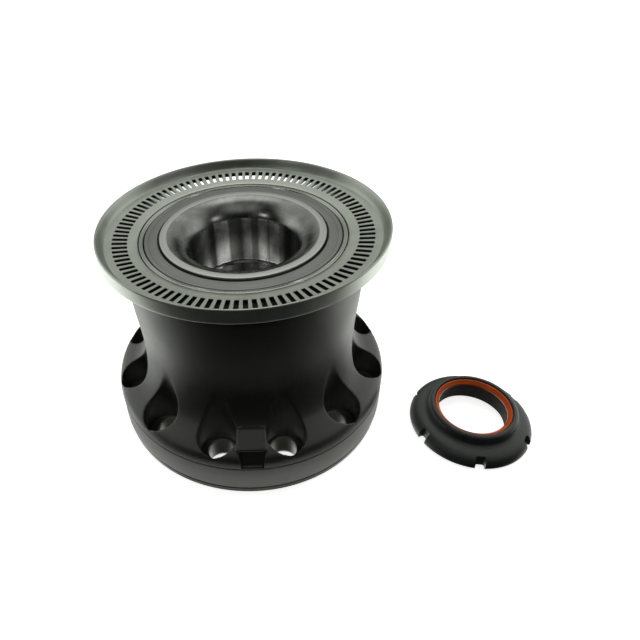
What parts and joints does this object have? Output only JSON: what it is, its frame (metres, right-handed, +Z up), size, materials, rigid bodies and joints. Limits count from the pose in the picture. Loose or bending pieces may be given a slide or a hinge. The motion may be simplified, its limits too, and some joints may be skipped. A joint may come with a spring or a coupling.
{
  "type": "wheel hub bearing unit",
  "caption": "Flanged wheel hub with built-in tapered roller bearing, slotted speed-sensor ring on top, and a loose round axle nut with an orange seal ring.",
  "frame": {"origin": "on the surface the unit stands on, under the middle of the box around the hub and the loose nut together", "axes": "+Z up along the bearing axis, from the wheel flange to the sensor ring; +X from the hub towards the loose nut; -Y is the side with the blank marking pad"},
  "size_m": [0.3014, 0.2, 0.1525],
  "materials": {
    "phosphated_iron": "dark phosphated casting, machined faces slightly lighter and smoother",
    "sensor_ring_steel": "pressed steel with a thin grey-green passivated coat, satin",
    "bearing_steel": "fine ground bearing steel, oiled",
    "outer_ring_steel": "ground bearing steel",
    "roller_steel": "polished bearing steel",
    "cage_steel": "pressed sheet steel, dull",
    "clip_steel": "rolled steel strip",
    "seal_case_steel": "satin grey pressed steel",
    "seal_rubber": "black nitrile rubber",
    "blackened_nut_steel": "matt charcoal phosphate over machined steel",
    "orange_silicone": "orange-red moulded silicone"
  },
  "bodies": {
    "hub_side": {"hub": "phosphated_iron", "abs_sensor_ring": "sensor_ring_steel", "outer_ring_inboard": "outer_ring_steel", "outer_ring_outboard": "outer_ring_steel", "seal_case_inboard": "seal_case_steel", "seal_lip_inboard": "seal_rubber", "seal_case_outboard": "seal_case_steel", "seal_lip_outboard": "seal_rubber"},
    "inner_rings": {"inner_ring_inboard": "bearing_steel", "inner_ring_outboard": "bearing_steel", "inner_ring_joint_clip": "clip_steel"},
    "cage_inboard": {"cage_inboard": "cage_steel"},
    "cage_outboard": {"cage_outboard": "cage_steel"},
    "loose_nut": {"axle_nut": "blackened_nut_steel", "axle_nut_seal_ring": "orange_silicone"},
    "roller_inboard_01": {"roller_inboard_01": "roller_steel"},
    "roller_inboard_02": {"roller_inboard_02": "roller_steel"},
    "roller_inboard_03": {"roller_inboard_03": "roller_steel"},
    "roller_inboard_04": {"roller_inboard_04": "roller_steel"},
    "roller_inboard_05": {"roller_inboard_05": "roller_steel"},
    "roller_inboard_06": {"roller_inboard_06": "roller_steel"},
    "roller_inboard_07": {"roller_inboard_07": "roller_steel"},
    "roller_inboard_08": {"roller_inboard_08": "roller_steel"},
    "roller_inboard_09": {"roller_inboard_09": "roller_steel"},
    "roller_inboard_10": {"roller_inboard_10": "roller_steel"},
    "roller_inboard_11": {"roller_inboard_11": "roller_steel"},
    "roller_inboard_12": {"roller_inboard_12": "roller_steel"},
    "roller_inboard_13": {"roller_inboard_13": "roller_steel"},
    "roller_inboard_14": {"roller_inboard_14": "roller_steel"},
    "roller_inboard_15": {"roller_inboard_15": "roller_steel"},
    "roller_inboard_16": {"roller_inboard_16": "roller_steel"},
    "roller_inboard_17": {"roller_inboard_17": "roller_steel"},
    "roller_inboard_18": {"roller_inboard_18": "roller_steel"},
    "roller_outboard_01": {"roller_outboard_01": "roller_steel"},
    "roller_outboard_02": {"roller_outboard_02": "roller_steel"},
    "roller_outboard_03": {"roller_outboard_03": "roller_steel"},
    "roller_outboard_04": {"roller_outboard_04": "roller_steel"},
    "roller_outboard_05": {"roller_outboard_05": "roller_steel"},
    "roller_outboard_06": {"roller_outboard_06": "roller_steel"},
    "roller_outboard_07": {"roller_outboard_07": "roller_steel"},
    "roller_outboard_08": {"roller_outboard_08": "roller_steel"},
    "roller_outboard_09": {"roller_outboard_09": "roller_steel"},
    "roller_outboard_10": {"roller_outboard_10": "roller_steel"},
    "roller_outboard_11": {"roller_outboard_11": "roller_steel"},
    "roller_outboard_12": {"roller_outboard_12": "roller_steel"},
    "roller_outboard_13": {"roller_outboard_13": "roller_steel"},
    "roller_outboard_14": {"roller_outboard_14": "roller_steel"},
    "roller_outboard_15": {"roller_outboard_15": "roller_steel"},
    "roller_outboard_16": {"roller_outboard_16": "roller_steel"},
    "roller_outboard_17": {"roller_outboard_17": "roller_steel"},
    "roller_outboard_18": {"roller_outboard_18": "roller_steel"}
  },
  "joints": [
    {"name": "inner_ring_spin", "type": "hinge", "parent": "hub_side", "child": "inner_rings", "pos_m": [-0.05075, 0, 0.097], "axis": [0, 0, 1], "continuous": true},
    {"name": "cage_inboard_spin", "type": "hinge", "parent": "hub_side", "child": "cage_inboard", "pos_m": [-0.05075, 0, 0.1195], "axis": [0, 0, 1], "continuous": true},
    {"name": "cage_outboard_spin", "type": "hinge", "parent": "hub_side", "child": "cage_outboard", "pos_m": [-0.05075, 0, 0.0745], "axis": [0, 0, 1], "continuous": true},
    {"name": "nut_lift", "type": "slide", "parent": "hub_side", "child": "loose_nut", "axis": [0, 0, 1], "range_m": [0, 0.15]},
    {"name": "roller_inboard_01_spin", "type": "hinge", "parent": "cage_inboard", "child": "roller_inboard_01", "pos_m": [-0.00175, 0, 0.1195], "axis": [0.225, 0, 0.9744], "continuous": true},
    {"name": "roller_inboard_02_spin", "type": "hinge", "parent": "cage_inboard", "child": "roller_inboard_02", "pos_m": [-0.0047, 0.01676, 0.1195], "axis": [0.2114, 0.0769, 0.9744], "continuous": true},
    {"name": "roller_inboard_03_spin", "type": "hinge", "parent": "cage_inboard", "child": "roller_inboard_03", "pos_m": [-0.01321, 0.0315, 0.1195], "axis": [0.1723, 0.1446, 0.9744], "continuous": true},
    {"name": "roller_inboard_04_spin", "type": "hinge", "parent": "cage_inboard", "child": "roller_inboard_04", "pos_m": [-0.02625, 0.04244, 0.1195], "axis": [0.1125, 0.1948, 0.9744], "continuous": true},
    {"name": "roller_inboard_05_spin", "type": "hinge", "parent": "cage_inboard", "child": "roller_inboard_05", "pos_m": [-0.04224, 0.04826, 0.1195], "axis": [0.0391, 0.2215, 0.9744], "continuous": true},
    {"name": "roller_inboard_06_spin", "type": "hinge", "parent": "cage_inboard", "child": "roller_inboard_06", "pos_m": [-0.05926, 0.04826, 0.1195], "axis": [-0.0391, 0.2215, 0.9744], "continuous": true},
    {"name": "roller_inboard_07_spin", "type": "hinge", "parent": "cage_inboard", "child": "roller_inboard_07", "pos_m": [-0.07525, 0.04244, 0.1195], "axis": [-0.1125, 0.1948, 0.9744], "continuous": true},
    {"name": "roller_inboard_08_spin", "type": "hinge", "parent": "cage_inboard", "child": "roller_inboard_08", "pos_m": [-0.08829, 0.0315, 0.1195], "axis": [-0.1723, 0.1446, 0.9744], "continuous": true},
    {"name": "roller_inboard_09_spin", "type": "hinge", "parent": "cage_inboard", "child": "roller_inboard_09", "pos_m": [-0.0968, 0.01676, 0.1195], "axis": [-0.2114, 0.0769, 0.9744], "continuous": true},
    {"name": "roller_inboard_10_spin", "type": "hinge", "parent": "cage_inboard", "child": "roller_inboard_10", "pos_m": [-0.09975, 0, 0.1195], "axis": [-0.225, 0, 0.9744], "continuous": true},
    {"name": "roller_inboard_11_spin", "type": "hinge", "parent": "cage_inboard", "child": "roller_inboard_11", "pos_m": [-0.0968, -0.01676, 0.1195], "axis": [-0.2114, -0.0769, 0.9744], "continuous": true},
    {"name": "roller_inboard_12_spin", "type": "hinge", "parent": "cage_inboard", "child": "roller_inboard_12", "pos_m": [-0.08829, -0.0315, 0.1195], "axis": [-0.1723, -0.1446, 0.9744], "continuous": true},
    {"name": "roller_inboard_13_spin", "type": "hinge", "parent": "cage_inboard", "child": "roller_inboard_13", "pos_m": [-0.07525, -0.04244, 0.1195], "axis": [-0.1125, -0.1948, 0.9744], "continuous": true},
    {"name": "roller_inboard_14_spin", "type": "hinge", "parent": "cage_inboard", "child": "roller_inboard_14", "pos_m": [-0.05926, -0.04826, 0.1195], "axis": [-0.0391, -0.2215, 0.9744], "continuous": true},
    {"name": "roller_inboard_15_spin", "type": "hinge", "parent": "cage_inboard", "child": "roller_inboard_15", "pos_m": [-0.04224, -0.04826, 0.1195], "axis": [0.0391, -0.2215, 0.9744], "continuous": true},
    {"name": "roller_inboard_16_spin", "type": "hinge", "parent": "cage_inboard", "child": "roller_inboard_16", "pos_m": [-0.02625, -0.04244, 0.1195], "axis": [0.1125, -0.1948, 0.9744], "continuous": true},
    {"name": "roller_inboard_17_spin", "type": "hinge", "parent": "cage_inboard", "child": "roller_inboard_17", "pos_m": [-0.01321, -0.0315, 0.1195], "axis": [0.1723, -0.1446, 0.9744], "continuous": true},
    {"name": "roller_inboard_18_spin", "type": "hinge", "parent": "cage_inboard", "child": "roller_inboard_18", "pos_m": [-0.0047, -0.01676, 0.1195], "axis": [0.2114, -0.0769, 0.9744], "continuous": true},
    {"name": "roller_outboard_01_spin", "type": "hinge", "parent": "cage_outboard", "child": "roller_outboard_01", "pos_m": [-0.00175, 0, 0.0745], "axis": [-0.225, 0, 0.9744], "continuous": true},
    {"name": "roller_outboard_02_spin", "type": "hinge", "parent": "cage_outboard", "child": "roller_outboard_02", "pos_m": [-0.0047, 0.01676, 0.0745], "axis": [-0.2114, -0.0769, 0.9744], "continuous": true},
    {"name": "roller_outboard_03_spin", "type": "hinge", "parent": "cage_outboard", "child": "roller_outboard_03", "pos_m": [-0.01321, 0.0315, 0.0745], "axis": [-0.1723, -0.1446, 0.9744], "continuous": true},
    {"name": "roller_outboard_04_spin", "type": "hinge", "parent": "cage_outboard", "child": "roller_outboard_04", "pos_m": [-0.02625, 0.04244, 0.0745], "axis": [-0.1125, -0.1948, 0.9744], "continuous": true},
    {"name": "roller_outboard_05_spin", "type": "hinge", "parent": "cage_outboard", "child": "roller_outboard_05", "pos_m": [-0.04224, 0.04826, 0.0745], "axis": [-0.0391, -0.2215, 0.9744], "continuous": true},
    {"name": "roller_outboard_06_spin", "type": "hinge", "parent": "cage_outboard", "child": "roller_outboard_06", "pos_m": [-0.05926, 0.04826, 0.0745], "axis": [0.0391, -0.2215, 0.9744], "continuous": true},
    {"name": "roller_outboard_07_spin", "type": "hinge", "parent": "cage_outboard", "child": "roller_outboard_07", "pos_m": [-0.07525, 0.04244, 0.0745], "axis": [0.1125, -0.1948, 0.9744], "continuous": true},
    {"name": "roller_outboard_08_spin", "type": "hinge", "parent": "cage_outboard", "child": "roller_outboard_08", "pos_m": [-0.08829, 0.0315, 0.0745], "axis": [0.1723, -0.1446, 0.9744], "continuous": true},
    {"name": "roller_outboard_09_spin", "type": "hinge", "parent": "cage_outboard", "child": "roller_outboard_09", "pos_m": [-0.0968, 0.01676, 0.0745], "axis": [0.2114, -0.0769, 0.9744], "continuous": true},
    {"name": "roller_outboard_10_spin", "type": "hinge", "parent": "cage_outboard", "child": "roller_outboard_10", "pos_m": [-0.09975, 0, 0.0745], "axis": [0.225, 0, 0.9744], "continuous": true},
    {"name": "roller_outboard_11_spin", "type": "hinge", "parent": "cage_outboard", "child": "roller_outboard_11", "pos_m": [-0.0968, -0.01676, 0.0745], "axis": [0.2114, 0.0769, 0.9744], "continuous": true},
    {"name": "roller_outboard_12_spin", "type": "hinge", "parent": "cage_outboard", "child": "roller_outboard_12", "pos_m": [-0.08829, -0.0315, 0.0745], "axis": [0.1723, 0.1446, 0.9744], "continuous": true},
    {"name": "roller_outboard_13_spin", "type": "hinge", "parent": "cage_outboard", "child": "roller_outboard_13", "pos_m": [-0.07525, -0.04244, 0.0745], "axis": [0.1125, 0.1948, 0.9744], "continuous": true},
    {"name": "roller_outboard_14_spin", "type": "hinge", "parent": "cage_outboard", "child": "roller_outboard_14", "pos_m": [-0.05926, -0.04826, 0.0745], "axis": [0.0391, 0.2215, 0.9744], "continuous": true},
    {"name": "roller_outboard_15_spin", "type": "hinge", "parent": "cage_outboard", "child": "roller_outboard_15", "pos_m": [-0.04224, -0.04826, 0.0745], "axis": [-0.0391, 0.2215, 0.9744], "continuous": true},
    {"name": "roller_outboard_16_spin", "type": "hinge", "parent": "cage_outboard", "child": "roller_outboard_16", "pos_m": [-0.02625, -0.04244, 0.0745], "axis": [-0.1125, 0.1948, 0.9744], "continuous": true},
    {"name": "roller_outboard_17_spin", "type": "hinge", "parent": "cage_outboard", "child": "roller_outboard_17", "pos_m": [-0.01321, -0.0315, 0.0745], "axis": [-0.1723, 0.1446, 0.9744], "continuous": true},
    {"name": "roller_outboard_18_spin", "type": "hinge", "parent": "cage_outboard", "child": "roller_outboard_18", "pos_m": [-0.0047, -0.01676, 0.0745], "axis": [-0.2114, 0.0769, 0.9744], "continuous": true}
  ],
  "couplings": [
    {"joint": "cage_inboard_spin", "follows": "inner_ring_spin", "ratio": 0.43239},
    {"joint": "cage_outboard_spin", "follows": "inner_ring_spin", "ratio": 0.43239},
    {"joint": "roller_inboard_01_spin", "follows": "inner_ring_spin", "ratio": -3.5371},
    {"joint": "roller_inboard_02_spin", "follows": "inner_ring_spin", "ratio": -3.5371},
    {"joint": "roller_inboard_03_spin", "follows": "inner_ring_spin", "ratio": -3.5371},
    {"joint": "roller_inboard_04_spin", "follows": "inner_ring_spin", "ratio": -3.5371},
    {"joint": "roller_inboard_05_spin", "follows": "inner_ring_spin", "ratio": -3.5371},
    {"joint": "roller_inboard_06_spin", "follows": "inner_ring_spin", "ratio": -3.5371},
    {"joint": "roller_inboard_07_spin", "follows": "inner_ring_spin", "ratio": -3.5371},
    {"joint": "roller_inboard_08_spin", "follows": "inner_ring_spin", "ratio": -3.5371},
    {"joint": "roller_inboard_09_spin", "follows": "inner_ring_spin", "ratio": -3.5371},
    {"joint": "roller_inboard_10_spin", "follows": "inner_ring_spin", "ratio": -3.5371},
    {"joint": "roller_inboard_11_spin", "follows": "inner_ring_spin", "ratio": -3.5371},
    {"joint": "roller_inboard_12_spin", "follows": "inner_ring_spin", "ratio": -3.5371},
    {"joint": "roller_inboard_13_spin", "follows": "inner_ring_spin", "ratio": -3.5371},
    {"joint": "roller_inboard_14_spin", "follows": "inner_ring_spin", "ratio": -3.5371},
    {"joint": "roller_inboard_15_spin", "follows": "inner_ring_spin", "ratio": -3.5371},
    {"joint": "roller_inboard_16_spin", "follows": "inner_ring_spin", "ratio": -3.5371},
    {"joint": "roller_inboard_17_spin", "follows": "inner_ring_spin", "ratio": -3.5371},
    {"joint": "roller_inboard_18_spin", "follows": "inner_ring_spin", "ratio": -3.5371},
    {"joint": "roller_outboard_01_spin", "follows": "inner_ring_spin", "ratio": -3.5371},
    {"joint": "roller_outboard_02_spin", "follows": "inner_ring_spin", "ratio": -3.5371},
    {"joint": "roller_outboard_03_spin", "follows": "inner_ring_spin", "ratio": -3.5371},
    {"joint": "roller_outboard_04_spin", "follows": "inner_ring_spin", "ratio": -3.5371},
    {"joint": "roller_outboard_05_spin", "follows": "inner_ring_spin", "ratio": -3.5371},
    {"joint": "roller_outboard_06_spin", "follows": "inner_ring_spin", "ratio": -3.5371},
    {"joint": "roller_outboard_07_spin", "follows": "inner_ring_spin", "ratio": -3.5371},
    {"joint": "roller_outboard_08_spin", "follows": "inner_ring_spin", "ratio": -3.5371},
    {"joint": "roller_outboard_09_spin", "follows": "inner_ring_spin", "ratio": -3.5371},
    {"joint": "roller_outboard_10_spin", "follows": "inner_ring_spin", "ratio": -3.5371},
    {"joint": "roller_outboard_11_spin", "follows": "inner_ring_spin", "ratio": -3.5371},
    {"joint": "roller_outboard_12_spin", "follows": "inner_ring_spin", "ratio": -3.5371},
    {"joint": "roller_outboard_13_spin", "follows": "inner_ring_spin", "ratio": -3.5371},
    {"joint": "roller_outboard_14_spin", "follows": "inner_ring_spin", "ratio": -3.5371},
    {"joint": "roller_outboard_15_spin", "follows": "inner_ring_spin", "ratio": -3.5371},
    {"joint": "roller_outboard_16_spin", "follows": "inner_ring_spin", "ratio": -3.5371},
    {"joint": "roller_outboard_17_spin", "follows": "inner_ring_spin", "ratio": -3.5371},
    {"joint": "roller_outboard_18_spin", "follows": "inner_ring_spin", "ratio": -3.5371}
  ]
}
